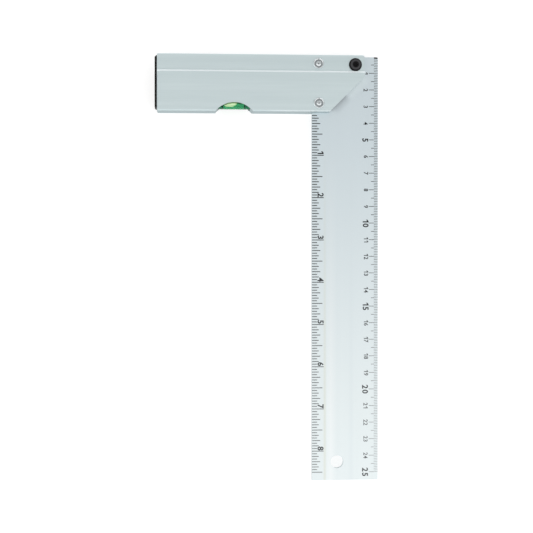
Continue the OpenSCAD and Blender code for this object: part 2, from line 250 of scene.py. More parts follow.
def extrusion_metal():
    """The stock's finish: a painted highlight on the step chamfer and along the inner edge, painted light
    inside the upper chambers, and painted shade inside the vial channel.
    """
    material = drawn_metal(
        "satin_extrusion", (22, 1500, 1500), paint(202, 219, 221), paint(228, 241, 243),
        paint(190, 199, 202), 0.4, "X",
    )
    tree = material.node_tree
    shader = tree.nodes["Principled BSDF"]
    low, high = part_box("stock")
    half_depth = (high.z - low.z) / 2
    face_wall = 0.0015
    edge_wall = 0.00155
    channel_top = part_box("vial_tube")[1].y + 0.0006
    chamber_top = high.y - 0.0105
    step_start, step_end = high.y - 0.01077, high.y - 0.00973
    edge_width, edge_depth = 0.00068, 0.00075
    place = split(tree, spot_on_piece(tree))
    depth = work(tree, "ABSOLUTE", work(tree, "SUBTRACT", place["Z"], (low.z + high.z) / 2))
    inside = work(tree, "LESS_THAN", depth, half_depth - face_wall)
    over_wall = work(tree, "GREATER_THAN", place["Y"], low.y + edge_wall)
    in_channel = work(tree, "LESS_THAN", place["Y"], channel_top)
    over_channel = work(tree, "SUBTRACT", 1.0, in_channel)
    below_step = work(tree, "LESS_THAN", place["Y"], chamber_top)
    # Painted shade: the inside of the vial channel is near black, for the dark open chamber at the mitre.
    painted_channel_shade = times(tree, inside, over_wall, in_channel)
    # Painted light: the chambers between the step and the vial channel are pale and dull inside, so that the
    # blade beside the mitre's upper half stays bright.
    painted_pale_chamber = times(tree, inside, over_channel, below_step)
    proud = work(tree, "GREATER_THAN", depth, half_depth - edge_depth)
    off_face = work(tree, "LESS_THAN", depth, half_depth - 0.00001)
    # Painted highlight: the step chamfer, and the inner chamfer rising towards the blade, take a paler colour
    # for the light they catch.
    step_edge = times(tree, band(tree, place["Y"], step_start, step_end, 0.00002), proud, off_face)
    by_edge = work(tree, "LESS_THAN", place["Y"], low.y + edge_width)
    painted_sheen = fade(tree, place["X"], -0.005, 0.01, 0.0, 0.65)
    painted_highlight = work(tree, "MAXIMUM", step_edge, times(tree, by_edge, painted_sheen, proud, off_face))
    drawn = shader.inputs["Base Color"].links[0].from_socket
    chamber = mix_colours(tree, painted_pale_chamber, drawn, paint(240, 243, 244))
    painted_light = mix_colours(tree, painted_highlight, chamber, paint(242, 250, 252))
    tree.links.new(mix_colours(tree, painted_channel_shade, painted_light, paint(26, 28, 29)), shader.inputs["Base Color"])
    tree.links.new(work(tree, "SUBTRACT", 1.0, painted_pale_chamber), shader.inputs["Metallic"])
    rough = shader.inputs["Roughness"].links[0].from_socket
    tree.links.new(work(tree, "ADD", rough, times(tree, step_edge, 0.1)), shader.inputs["Roughness"])
    return material


dress(["stock"], extrusion_metal())


# The blade is a rolled aluminium strip, bevelled along its millimetre edge, with
# a hanging hole. It lies in the stock's slot between the spacers, held by the
# two rivets and the screw.
BLADE_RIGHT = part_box("blade")[1].x
BLADE_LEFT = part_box("blade")[0].x
BLADE_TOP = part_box("blade")[1].z
OUTER_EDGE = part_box("stock")[1].y
INNER_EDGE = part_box("stock")[0].y
BEVEL_WIDTH = 0.0025
BEVEL_DROP = 0.001


def blade_metal():
    """The strip's finish: a few faint drawing streaks, a painted shadow beside the mitre's lower half, and
    painted light beside its upper half.
    """
    material = drawn_metal(
        "rolled_strip", (1500, 16, 1500), paint(220, 231, 233), paint(232, 242, 243),
        paint(205, 213, 216), 0.36, "Y",
    )
    tree = material.node_tree
    shader = tree.nodes["Principled BSDF"]
    place = split(tree, spot_on_piece(tree))
    across, along = place["X"], place["Y"]
    colour = shader.inputs["Base Color"].links[0].from_socket
    used = fade(tree, along, 0.08, -0.08, 0.0, 1.0)
    colour = mix_colours(tree, work(tree, "SUBTRACT", 1.0, used), colour, paint(221, 234, 239))
    for middle, half_width, share, tint in (
        (0.0078, 0.0012, 0.9, paint(220, 227, 219)),
        (0.0115, 0.0035, 0.3, paint(248, 251, 251)),
        (0.0238, 0.002, 0.3, paint(212, 224, 228)),
    ):
        off = work(tree, "ABSOLUTE", work(tree, "SUBTRACT", across, BLADE_LEFT + middle))
        streak = fade(tree, off, 0.0, half_width, share, 0.0)
        colour = mix_colours(tree, times(tree, streak, used), colour, tint)
    square_end = 0.0128
    mitre_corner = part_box("stock")[1].x - (OUTER_EDGE - INNER_EDGE - square_end)
    right = work(tree, "SUBTRACT", across, mitre_corner)
    up = work(tree, "SUBTRACT", along, INNER_EDGE)
    from_mitre = times(tree, work(tree, "SUBTRACT", right, up), math.sqrt(0.5))
    up_mitre = times(tree, work(tree, "ADD", right, up), math.sqrt(0.5))
    # Beside the mitre: a painted shadow by the vial channel's mouth, and painted light further up that lifts
    # the shade of the stock's end.
    near = fade(tree, from_mitre, 0.0012, 0.0052, 1.0, 0.0)
    channel_mouth = 0.0092
    off = work(tree, "ABSOLUTE", work(tree, "SUBTRACT", up_mitre, channel_mouth))
    mitre_shadow = fade(tree, off, 0.003, 0.0078, 0.3, 0.0, interpolation_type="SMOOTHSTEP")
    colour = mix_colours(tree, times(tree, near, mitre_shadow), colour, paint(146, 154, 158))
    painted_light = times(tree, near, band(tree, up_mitre, 0.0157, 0.0305, 0.0018), 0.48)
    colour = mix_colours(tree, painted_light, colour, paint(241, 254, 255))
    tree.links.new(colour, shader.inputs["Base Color"])
    return material


dress(["blade"], blade_metal())


# The two scales are printed on the blade in black: millimetres from the stock's
# outer edge along the bevelled edge, and sixteenths of an inch from its inner
# edge. The ink stands two hundredths of a millimetre proud.
INK_THICKNESS = 0.00003
INK_SUNK = 0.00001
PRINT_LEVEL = BLADE_TOP - INK_SUNK
LINE_WIDTH = 0.00034


def scale_row_tree():
    """A row of printed lines: every line has the base length, and four steps of lines are longer."""
    tree = bpy.data.node_groups.new("scale_row", "GeometryNodeTree")
    tree.is_modifier = True
    sockets = [
        ("Count", "NodeSocketInt", 10), ("First", "NodeSocketVector", (0, 0, 0)),
        ("Pitch", "NodeSocketFloat", 0.001), ("Turn", "NodeSocketVector", (0, 0, 0)),
        ("Base Length", "NodeSocketFloat", 0.002), ("Line Width", "NodeSocketFloat", 0.0004),
        ("Thickness", "NodeSocketFloat", 0.00003), ("Ink", "NodeSocketMaterial", None),
    ]
    for step in range(1, 5):
        sockets.append((f"Step {step} Every", "NodeSocketInt", 100000))
        sockets.append((f"Step {step} Length", "NodeSocketFloat", 0.0))
    for label, kind, value in sockets:
        socket = tree.interface.new_socket(name=label, in_out="INPUT", socket_type=kind)
        if value is not None:
            socket.default_value = value
    tree.interface.new_socket(name="Geometry", in_out="OUTPUT", socket_type="NodeSocketGeometry")
    given = tree.nodes.new("NodeGroupInput").outputs
    offset = add_node(tree, "ShaderNodeCombineXYZ", {"Y": work(tree, "MULTIPLY", given["Pitch"], -1.0)})
    row = add_node(
        tree, "GeometryNodeMeshLine",
        {"Count": given["Count"], "Start Location": given["First"], "Offset": offset.outputs[0]},
    )
    number = work(tree, "ADD", add_node(tree, "GeometryNodeInputIndex").outputs[0], 1.0)
    length = given["Base Length"]
    for step in range(1, 5):
        left_over = work(tree, "MODULO", number, given[f"Step {step} Every"])
        fits = work(tree, "LESS_THAN", work(tree, "ABSOLUTE", left_over), 0.5)
        switch = add_node(
            tree, "GeometryNodeSwitch",
            {"Switch": fits, "False": length, "True": given[f"Step {step} Length"]}, input_type="FLOAT",
        )
        length = switch.outputs[0]
    size = add_node(
        tree, "ShaderNodeCombineXYZ", {"X": length, "Y": given["Line Width"], "Z": given["Thickness"]}
    )
    block = add_node(tree, "GeometryNodeMeshCube", {"Size": (1.0, 1.0, 1.0)})
    line = add_node(
        tree, "GeometryNodeTransform", {"Geometry": block.outputs["Mesh"], "Translation": (0.5, 0.0, 0.5)}
    )
    lines = add_node(
        tree, "GeometryNodeInstanceOnPoints",
        {"Points": row.outputs["Mesh"], "Instance": line.outputs[0], "Rotation": given["Turn"],
         "Scale": size.outputs[0], "Selection": work(tree, "GREATER_THAN", length, 0.00001)},
    )
    real = add_node(tree, "GeometryNodeRealizeInstances", {"Geometry": lines.outputs[0]})
    inked = add_node(
        tree, "GeometryNodeSetMaterial", {"Geometry": real.outputs[0], "Material": given["Ink"]}
    )
    add_node(tree, "NodeGroupOutput", {"Geometry": inked.outputs[0]})
    return tree


def grain_group():
    """Fine even grain, and the roughness that follows it."""
    tree, given, result = new_group(
        "fine_grain",
        [("Scale", "NodeSocketFloat", 1800.0), ("Detail", "NodeSocketFloat", 4.0),
         ("Coarseness", "NodeSocketFloat", 0.5), ("Smoothest", "NodeSocketFloat", 0.3),
         ("Roughest", "NodeSocketFloat", 0.5)],
        [("Tone", "NodeSocketFloat"), ("Roughness", "NodeSocketFloat")],
    )
    tone = add_node(
        tree, "ShaderNodeTexNoise",
        {"Vector": spot_on_piece(tree), "Scale": given.outputs["Scale"],
         "Detail": given.outputs["Detail"], "Roughness": given.outputs["Coarseness"]},
    ).outputs[0]
    rough = fade(tree, tone, 0.3, 0.7, given.outputs["Smoothest"], given.outputs["Roughest"])
    tree.links.new(tone, result.inputs["Tone"])
    tree.links.new(rough, result.inputs["Roughness"])
    return tree


fine_grain = grain_group()


def ink_material(name, painted_sheen):
    """Screen-printed black ink: slightly uneven, half dull, and painted paler towards the blade's free end as
    a painted reflection.
    """
    material, tree, shader = new_material(name, Metallic=0.0, Specular_IOR_Level=0.35)
    grain = place_group(tree, fine_grain, Scale=2600.0, Detail=3.0, Smoothest=0.45, Roughest=0.65)
    black = mix_colours(tree, grain["Tone"], paint(12, 13, 15), paint(40, 42, 45))
    # Painted reflection: the ink turns paler towards the blade's free end.
    sheen_to_foot = fade(tree, split(tree, spot_on_piece(tree))["Y"], 0.04, -0.11, 0.0, 1.0)
    tree.links.new(mix_colours(tree, sheen_to_foot, black, painted_sheen), shader.inputs["Base Color"])
    tree.links.new(grain["Roughness"], shader.inputs["Roughness"])
    raise_surface(tree, shader, grain["Tone"], 0.2, 0.00001)
    return material


line_ink = ink_material("line_ink", paint(134, 139, 141))
mark_ink = ink_material("mark_ink", paint(168, 173, 175))
bevel_ink = ink_material("bevel_ink", paint(174, 179, 181))
small_ink = ink_material("small_number_ink", paint(118, 123, 125))
bold_ink = ink_material("bold_number_ink", paint(84, 88, 90))
scale_row = scale_row_tree()


def print_row(name, **values):
    """Runs the tree of a row once and keeps its result as a plain mesh."""
    holder = bpy.data.objects.new(name, bpy.data.meshes.new(name + "_seed"))
    bpy.context.scene.collection.objects.link(holder)
    modifier = holder.modifiers.new("row", "NODES")
    modifier.node_group = scale_row
    given = {"Line Width": LINE_WIDTH, "Thickness": INK_THICKNESS, "Ink": line_ink, **values}
    for item in scale_row.interface.items_tree:
        if item.item_type == "SOCKET" and item.in_out == "INPUT" and item.name in given:
            modifier[item.identifier] = given[item.name]
    bpy.context.view_layer.update()
    graph = bpy.context.evaluated_depsgraph_get()
    mesh = bpy.data.meshes.new_from_object(holder.evaluated_get(graph))
    holder.modifiers.remove(modifier)
    holder.data = mesh
    return holder


def plain_one(mesh, stroke):
    """Gives the figure 1 a plain stem and a heavy slanted flag, one unit thick like the other figures."""
    outline = [
        (0.0, 0.0), (stroke, 0.0), (stroke, 0.72), (0.0, 0.72),
        (-0.2, 0.56), (-0.2, 0.42), (0.0, 0.52),
    ]
    shape = bmesh.new()
    face = shape.faces.new([shape.verts.new((x, y, -0.5)) for x, y in outline])
    grown = bmesh.ops.extrude_face_region(shape, geom=[face])["geom"]
    raised = [item for item in grown if isinstance(item, bmesh.types.BMVert)]
    bmesh.ops.translate(shape, vec=(0.0, 0.0, 1.0), verts=raised)
    bmesh.ops.recalc_face_normals(shape, faces=shape.faces)
    mesh.clear_geometry()
    shape.to_mesh(mesh)
    shape.free()


def digit_meshes(fatten):
    """The ten digits as flat closed shapes one unit tall, upright, each round x = 0 from y = 0."""
    thin_stem = 0.09
    shapes = {}
    for digit in "0123456789":
        words = bpy.data.curves.new("digit", "FONT")
        words.body = digit
        words.offset = fatten
        words.extrude = 0.5
        words.resolution_u = 3
        holder = bpy.data.objects.new("digit", words)
        bpy.context.scene.collection.objects.link(holder)
        bpy.context.view_layer.update()
        graph = bpy.context.evaluated_depsgraph_get()
        mesh = bpy.data.meshes.new_from_object(holder.evaluated_get(graph))
        bpy.data.objects.remove(holder)
        if digit == "1":
            plain_one(mesh, thin_stem + 2 * fatten)
        low = Vector(map(min, *(v.co for v in mesh.vertices)))
        high = Vector(map(max, *(v.co for v in mesh.vertices)))
        mesh.transform(Matrix.Translation((-(low.x + high.x) / 2, -low.y, 0.5)))
        mesh.transform(Matrix.Diagonal((1 / (high.y - low.y), 1 / (high.y - low.y), 1, 1)))
        shapes[digit] = mesh
    return shapes


def print_numbers(name, shapes, numbers, ink):
    """Sets numbers on the blade, their tops towards +X, from (number, foot x, middle y, height, pitch)."""
    gathered = bmesh.new()
    for number, foot, middle, height, pitch in numbers:
        for place, digit in enumerate(number):
            shift = (place - (len(number) - 1) / 2) * pitch
            start = len(gathered.verts)
            gathered.from_mesh(shapes[digit])
            gathered.verts.ensure_lookup_table()
            settle = (
                Matrix.Translation((foot, middle - shift, PRINT_LEVEL))
                @ Matrix.Rotation(-math.pi / 2, 4, "Z")
                @ Matrix.Diagonal((height, height, INK_THICKNESS, 1))
            )
            bmesh.ops.transform(gathered, matrix=settle, verts=gathered.verts[start:])
    mesh = bpy.data.meshes.new(name)
    gathered.to_mesh(mesh)
    gathered.free()
    mesh.materials.clear()
    mesh.materials.append(ink)
    piece = bpy.data.objects.new(name, mesh)
    bpy.context.scene.collection.objects.link(piece)
    return piece


BEVEL_SLOPE = math.atan2(BEVEL_DROP, BEVEL_WIDTH)
BEVEL_START = BLADE_RIGHT - BEVEL_WIDTH
PRINT_SHIFT = 0.0001
MILLIMETRE = 0.001
CENTIMETRE = 0.01
INCH = 0.0254
MM_ZERO = OUTER_EDGE - PRINT_SHIFT
INCH_ZERO = INNER_EDGE - PRINT_SHIFT

scale_pieces = [
    print_row(
        "millimetre_lines_on_bevel", Count=250, Pitch=MILLIMETRE,
        First=(BEVEL_START, MM_ZERO - MILLIMETRE, PRINT_LEVEL), Turn=(0.0, BEVEL_SLOPE, 0.0),
        **{"Base Length": 0.0026, "Line Width": 0.00028, "Ink": bevel_ink},
    ),
    print_row(
        "millimetre_lines_on_face", Count=250, Pitch=MILLIMETRE,
        First=(BEVEL_START, MM_ZERO - MILLIMETRE, PRINT_LEVEL), Turn=(0.0, 0.0, math.pi),
        **{"Base Length": 0.0, "Step 1 Every": 5, "Step 1 Length": 0.00173,
           "Step 2 Every": 10, "Step 2 Length": 0.00307, "Ink": mark_ink},
    ),
    print_row(
        "zero_mark", Count=1, First=(BEVEL_START, OUTER_EDGE - 0.00088, PRINT_LEVEL),
        Turn=(0.0, BEVEL_SLOPE, 0.0), **{"Base Length": 0.00237, "Line Width": 0.00094},
    ),
    print_row(
        "inch_lines", Count=136, Pitch=INCH / 16,
        First=(BLADE_LEFT + 0.00005, INCH_ZERO - INCH / 16, PRINT_LEVEL), Turn=(0.0, 0.0, 0.0),
        **{"Line Width": 0.0005, "Base Length": 0.0031, "Step 1 Every": 2, "Step 1 Length": 0.0041,
           "Step 2 Every": 4, "Step 2 Length": 0.005, "Step 3 Every": 8, "Step 3 Length": 0.0063,
           "Step 4 Every": 16, "Step 4 Length": 0.0071},
    ),
]

SMALL_FOOT, SMALL_HEIGHT, SMALL_PITCH = 0.0088, 0.0026, 0.0019
FIVE_FOOT, FIVE_HEIGHT = 0.00957, 0.0036
INCH_FOOT, INCH_HEIGHT, INCH_PITCH = 0.0034, 0.0037, 0.003
FIGURE_DROP = 0.0001
INCH_FIGURE_RISE = 0.0016
thin_digits = digit_meshes(0.021)
bold_digits = digit_meshes(0.028)
fives, others = [], []
for count in range(1, 26):
    # As printed, the figures from 6 to 19 stand a little nearer to the edge than the others.
    nearer = 0.0002 if 6 <= count <= 9 else 0.0003 if 10 <= count <= 19 else 0.0
    middle = MM_ZERO - CENTIMETRE * count - FIGURE_DROP
    if count % 5 == 0:
        pitch = 0.0026 if count < 20 else 0.0029
        fives.append((str(count), BLADE_RIGHT - FIVE_FOOT + nearer, middle, FIVE_HEIGHT, pitch))
    else:
        others.append((str(count), BLADE_RIGHT - SMALL_FOOT + nearer, middle, SMALL_HEIGHT, SMALL_PITCH))
inches = []
for count in range(1, 9):
    middle = INCH_ZERO - INCH * count + INCH_FIGURE_RISE
    inches.append((str(count), BLADE_LEFT + INCH_FOOT, middle, INCH_HEIGHT, INCH_PITCH))
scale_pieces.append(print_numbers("centimetre_numbers", thin_digits, others, small_ink))
scale_pieces.append(print_numbers("five_centimetre_numbers", bold_digits, fives, bold_ink))
scale_pieces.append(print_numbers("inch_numbers", bold_digits, inches, bold_ink))
for piece in scale_pieces:
    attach(piece, "square")


# Turned aluminium spacers fill the stock beside the blade, so that the rivets
# and the screw can clamp it without crushing the hollow extrusion.
spacer_metal = drawn_metal(
    "turned_spacer", (2400, 2400, 900), paint(196, 202, 206), paint(222, 227, 230),
    paint(205, 210, 213), 0.32, "Z",
)
dress(
    ["upper_front_spacer", "upper_rear_spacer", "lower_front_spacer", "lower_rear_spacer",
     "screw_front_spacer", "screw_rear_spacer"],
    spacer_metal,
)


# Two aluminium rivets hold the blade. Each has a flush countersunk head behind
# and a pressed head in front, with a rounded rim round a small dished disc.
def from_axis(tree, x, y):
    """Distance from an upright axis, as a socket."""
    flat = add_node(
        tree, "ShaderNodeMapping",
        {"Vector": spot_on_piece(tree), "Location": (-x, -y, 0.0), "Scale": (1.0, 1.0, 0.0)},
    )
    length = add_node(tree, "ShaderNodeVectorMath", {0: flat.outputs[0]}, operation="LENGTH")
    return length.outputs["Value"]


def rivet_metal(name):
    """Bright pressed aluminium, with painted shade in the ring groove, the dimple and the press mark, and on
    the rim's lower half.
    """
    low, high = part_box(name)
    middle_x, middle_y = (low.x + high.x) / 2, (low.y + high.y) / 2
    material, tree, shader = new_material("pressed_" + name, Metallic=1.0)
    distance = from_axis(tree, middle_x, middle_y)
    grain = place_group(tree, fine_grain, Scale=1800.0, Coarseness=0.6, Smoothest=0.08, Roughest=0.15)
    rim_tone = mix_colours(tree, grain["Tone"], paint(214, 222, 224), paint(238, 243, 245))
    disc_tone = mix_colours(tree, grain["Tone"], paint(206, 214, 216), paint(228, 234, 236))
    # Painted shade: the groove, the dimple, the press mark and the rim's lower half are darker, where the
    # head's relief shades them.
    disc = fade(tree, distance, 0.0015, 0.0017, 1.0, 0.0)
    groove = band(tree, distance, 0.0016, 0.0023, 0.0002)
    dimple = fade(tree, distance, 0.0002, 0.0006, 1.0, 0.0)
    place = split(tree, spot_on_piece(tree))
    aside = work(tree, "ABSOLUTE", work(tree, "SUBTRACT", place["X"], middle_x))
    above = work(tree, "SUBTRACT", place["Y"], middle_y)
    nick_shade = times(
        tree, fade(tree, aside, 0.00018, 0.00045, 0.5, 0.0), band(tree, above, 0.0021, 0.0034, 0.0002)
    )
    rim_lower_shade = times(
        tree, fade(tree, above, 0.001, -0.0015, 0.0, 0.55), band(tree, distance, 0.0023, 0.004, 0.0002)
    )
    colour = mix_colours(tree, disc, rim_tone, disc_tone)
    for share, tint in (
        (dimple, paint(96, 100, 102)), (groove, paint(150, 155, 157)),
        (rim_lower_shade, paint(196, 205, 207)), (nick_shade, paint(110, 114, 116)),
    ):
        colour = mix_colours(tree, share, colour, tint)
    tree.links.new(colour, shader.inputs["Base Color"])
    dull = times(tree, work(tree, "MAXIMUM", groove, dimple), 0.3)
    softer = work(tree, "ADD", dull, times(tree, disc, 0.08))
    tree.links.new(work(tree, "ADD", grain["Roughness"], softer), shader.inputs["Roughness"])
    raise_surface(tree, shader, grain["Tone"], 0.15, 0.00003)
    return material


TURN_STEPS = 96


def turned_shape(rings, ends, settle):
    """A closed shape turned about an axis, from rings of radii with their height, and its two ends' heights.

    settle gives the place of a point from its two distances off the axis and its height along it.
    """
    shape = bmesh.new()
    loops = []
    for radii, height in rings:
        loops.append([
            shape.verts.new(settle(
                radius * math.cos(2 * math.pi * turn / TURN_STEPS),
                radius * math.sin(2 * math.pi * turn / TURN_STEPS),
                height,
            ))
            for turn, radius in enumerate(radii)
        ])
    for below, above in zip(loops, loops[1:]):
        for turn in range(TURN_STEPS):
            following = (turn + 1) % TURN_STEPS
            shape.faces.new((below[turn], below[following], above[following], above[turn]))
    for loop, height in zip((loops[0], loops[-1]), ends):
        pole = shape.verts.new(settle(0.0, 0.0, height))
        for turn in range(TURN_STEPS):
            shape.faces.new((loop[turn], loop[(turn + 1) % TURN_STEPS], pole))
    bmesh.ops.recalc_face_normals(shape, faces=shape.faces)
    return shape


def round_rings(profile):
    """Plain rings of a turned shape, from (radius, height)."""
    return [([radius] * TURN_STEPS, height) for radius, height in profile]


def finished_piece(shape, name, materials, sharp):
    """Makes a shape an object, smooth but for edges that turn by more than `sharp` degrees."""
    for face in shape.faces:
        face.smooth = True
    for edge in shape.edges:
        edge.smooth = edge.calc_face_angle(0.0) < math.radians(sharp)
    mesh = bpy.data.meshes.new(name)
    shape.to_mesh(mesh)
    shape.free()
    for material in materials:
        mesh.materials.append(material)
    piece = bpy.data.objects.new(name, mesh)
    bpy.context.scene.collection.objects.link(piece)
    return piece


def pressed_rivet(name):
    """A rivet with a flush rear head, shank, rounded rim, groove, crowned disc, dimple and press mark."""
    low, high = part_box(name)
    middle_x, middle_y = (low.x + high.x) / 2, (low.y + high.y) / 2
    head_radius = (high.x - low.x) / 2
    shank_radius = 0.002
    sink = 0.0013
    rim_radius = 0.0005
    seat = high.z - 0.0009
    groove_floor = seat + 0.00014
    profile = [
        (head_radius, low.z), (shank_radius, low.z + sink), (shank_radius, seat), (head_radius, seat),
    ]
    for step in range(13):
        angle = math.radians(15 * step)
        profile.append((
            head_radius - rim_radius + rim_radius * math.cos(angle),
            high.z - rim_radius + rim_radius * math.sin(angle),
        ))
    profile += [(0.0023, groove_floor + 0.0001), (0.0022, groove_floor), (0.0016, groove_floor)]
    disc_and_dimple = (
        (0.00155, 0.00034), (0.0015, 0.0004), (0.0013, 0.0005), (0.001, 0.0006), (0.0007, 0.00066),
        (0.0005, 0.00067), (0.0004, 0.00064), (0.0003, 0.00056), (0.00015, 0.00047),
    )
    dimple_floor = seat + 0.00044
    profile += [(radius, seat + rise) for radius, rise in disc_and_dimple]
    shape = turned_shape(
        round_rings(profile), (low.z, dimple_floor), lambda x, y, z: (middle_x + x, middle_y + y, z)
    )
    mark_half_width = 0.00042
    mark_depth = 0.00022
    mark_start = middle_y + 0.002
    mark_level = high.z - 0.00035
    for vertex in shape.verts:
        aside = abs(vertex.co.x - middle_x)
        if vertex.co.y > mark_start and vertex.co.z > mark_level and aside < mark_half_width:
            vertex.co.z -= mark_depth * (1 - aside / mark_half_width)
    piece = finished_piece(shape, "pressed_" + name, [rivet_metal(name)], 40)
    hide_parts(name)
    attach(piece, "square")


for rivet in ("upper_rivet", "lower_rivet"):
    pressed_rivet(rivet)


# A blackened steel button screw with a hex socket, and its thin nut behind,
# clamp the corner of the blade in the sunk strip.
def blackened_steel(name, painted_sheen):
    """Oil-blackened steel: near black, fine grain and a soft sheen, with a lighter ring painted on the dome
    as its sheen, by the given share.
    """
    low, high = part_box("clamp_screw")
    material, tree, shader = new_material(name, Metallic=0.0, Specular_IOR_Level=0.1)
    distance = from_axis(tree, (low.x + high.x) / 2, (low.y + high.y) / 2)
    grain = place_group(
        tree, fine_grain, Scale=2400.0, Detail=5.0, Coarseness=0.7, Smoothest=0.34, Roughest=0.5
    )
    black = mix_colours(tree, grain["Tone"], paint(12, 12, 13), paint(24, 24, 26))
    # Painted sheen: a lighter ring on the dome, as strong as the given share.
    painted_light = times(tree, band(tree, distance, 0.0019, 0.0031, 0.0002), painted_sheen)
    tree.links.new(mix_colours(tree, painted_light, black, paint(66, 67, 69)), shader.inputs["Base Color"])
    tree.links.new(grain["Roughness"], shader.inputs["Roughness"])
    raise_surface(tree, shader, grain["Tone"], 0.2, 0.00003)
    return material


def button_screw():
    """The screw, turned about its axis: a domed head, countersunk hex socket, shank and bevelled tip."""
    low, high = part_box("clamp_screw")
    middle_x, middle_y = (low.x + high.x) / 2, (low.y + high.y) / 2
    head_radius = (high.x - low.x) / 2
    top = high.z
    seat = top - 0.0018
    shank_radius = 0.002
    tip_bevel = 0.0004
    rim = seat + 0.0002
    rim_bevel = 0.0001
    flat_radius = 0.0021
    mouth_radius = 0.0017
    mouth_depth = 0.00022
    socket_flat = 0.00125
    socket_depth = 0.0011
    drill_point = 0.0003
    profile = [
        (shank_radius - tip_bevel, low.z), (shank_radius, low.z + tip_bevel), (shank_radius, seat),
        (head_radius - rim_bevel, seat), (head_radius, seat + rim_bevel), (head_radius, rim),
    ]
    for step in range(1, 13):
        angle = math.radians(7.5 * step)
        profile.append((
            flat_radius + (head_radius - flat_radius) * math.cos(angle),
            rim + (top - rim) * math.sin(angle),
        ))
    profile.append((mouth_radius, top))
    hexagon = [
        socket_flat / math.cos(math.radians((360 * turn / TURN_STEPS) % 60 - 30))
        for turn in range(TURN_STEPS)
    ]
    rings = round_rings(profile) + [(hexagon, top - mouth_depth), (hexagon, top - socket_depth)]
    shape = turned_shape(
        rings, (low.z, top - socket_depth - drill_point), lambda x, y, z: (middle_x + x, middle_y + y, z)
    )
    piece = finished_piece(shape, "button_screw", [blackened_steel("blackened_screw", 1.0)], 28)
    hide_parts("clamp_screw")
    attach(piece, "square")


button_screw()
dress(["clamp_nut"], blackened_steel("blackened_nut", 0.0))


# The spirit vial is a clear acrylic tube with a pressed plug, two black marker
# rings, green fluid and its bubble. It is pushed along its channel in the stock
# and shows through the window in the inner edge.
def acrylic(name, index, shadow_share):
    """Clear acrylic, hardly tinted, with a painted shadow along the window's edge, by the given share."""
    material, tree, shader = new_material(
        name, Metallic=0.0, Transmission_Weight=1.0, IOR=index, Specular_Tint=paint(170, 170, 170)
    )
    lines = place_group(tree, drawn_lines, Stretch=(30, 1800, 1800), Seed=5.1, Smoothest=0.0, Roughest=0.04)
    clear = mix_colours(tree, lines["Tone"], paint(238, 251, 243), paint(248, 254, 251))
    window_middle = BLADE_RIGHT - 0.0868
    window_radius = 0.0142
    window_top = INNER_EDGE + 0.0053
    from_window = from_axis(tree, window_middle, window_top - window_radius)
    # Painted shadow: the tube darkens in a thin band under the window's arc, where the stock's front wall
    # shades it.
    window_shadow = fade(tree, from_window, 0.0135, 0.0138, 0.0, shadow_share)
    along = split(tree, spot_on_piece(tree))["X"]
    off = work(tree, "ABSOLUTE", work(tree, "SUBTRACT", along, window_middle - 0.001))
    share = times(tree, window_shadow, fade(tree, off, 0.0045, 0.0065, 1.0, 0.0))
    tree.links.new(mix_colours(tree, share, clear, paint(76, 96, 70)), shader.inputs["Base Color"])
    tree.links.new(lines["Roughness"], shader.inputs["Roughness"])
    return material


def quarter_round(start, radius, size):
    """Points of a rounded corner, from a flat end to a round wall, as (place along the axis, radius)."""
    points = []
    for step in range(7):
        angle = math.radians(15 * step)
        points.append((start + size * (1 - math.sin(angle)), radius - size * (1 - math.cos(angle))))
    return points


def vial_tube():
    """The tube, with rounded shoulders. Its bore is wet, so light bends there only a little."""
    low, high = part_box("vial_tube")
    axis_y, axis_z = (low.y + high.y) / 2, (low.z + high.z) / 2
    outside = (high.z - low.z) / 2
    wall = 0.0007
    bore = outside - wall
    bottom = low.x + 0.002
    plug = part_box("vial_plug")[0].x
    round_off = 0.0006
    lip = 0.0002
    profile = quarter_round(low.x, outside, round_off)[::-1]
    profile += [(high.x - lip, outside), (high.x, outside - lip), (high.x, bore), (plug, bore)]
    profile += quarter_round(bottom, bore, round_off)
    shape = turned_shape(
        round_rings([(radius, x) for x, radius in profile]), (low.x, bottom),
        lambda y, z, x: (x, axis_y + y, axis_z + z),
    )
    for face in shape.faces:
        centre = face.calc_center_median()
        off_axis = math.hypot(centre.y - axis_y, centre.z - axis_z)
        face.material_index = int(bottom - lip < centre.x < plug and off_axis < outside - wall / 2)
    materials = [acrylic("clear_acrylic", 1.49, 1.0), acrylic("wet_acrylic", 1.1, 0.0)]
    piece = finished_piece(shape, "spirit_tube", materials, 28)
    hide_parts("vial_tube")
    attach(piece, "square")


def fluid_material():
    """Green fluorescent fluid, a little cloudy, with a painted glow, and painted shade at its far ends and
    along its lower side.
    """
    # Its emission is a painted glow that brightens the green.
    material, tree, shader = new_material(
        "green_fluid", Metallic=0.0, Specular_IOR_Level=0.0, Emission_Strength=0.14
    )
    low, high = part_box("vial_tube")
    axis = (low.y + high.y) / 2
    cloud = place_group(tree, fine_grain, Scale=220.0, Detail=2.0, Smoothest=0.08, Roughest=0.16)
    place = split(tree, spot_on_piece(tree))
    off = work(tree, "ABSOLUTE", work(tree, "SUBTRACT", place["X"], (low.x + high.x) / 2))
    bright = mix_colours(tree, cloud["Tone"], paint(62, 198, 134), paint(82, 218, 148))
    # Painted shade: darker along the lower side and beyond the marker rings.
    lower_shade = fade(tree, place["Y"], axis - 0.0022, axis - 0.0036, 0.0, 0.5)
    lower = mix_colours(tree, lower_shade, bright, paint(20, 124, 80))
    colour = mix_colours(tree, fade(tree, off, 0.006, 0.0072, 0.0, 1.0), lower, paint(20, 138, 96))
    tree.links.new(colour, shader.inputs["Base Color"])
    tree.links.new(colour, shader.inputs["Emission Color"])
    tree.links.new(cloud["Roughness"], shader.inputs["Roughness"])
    return material


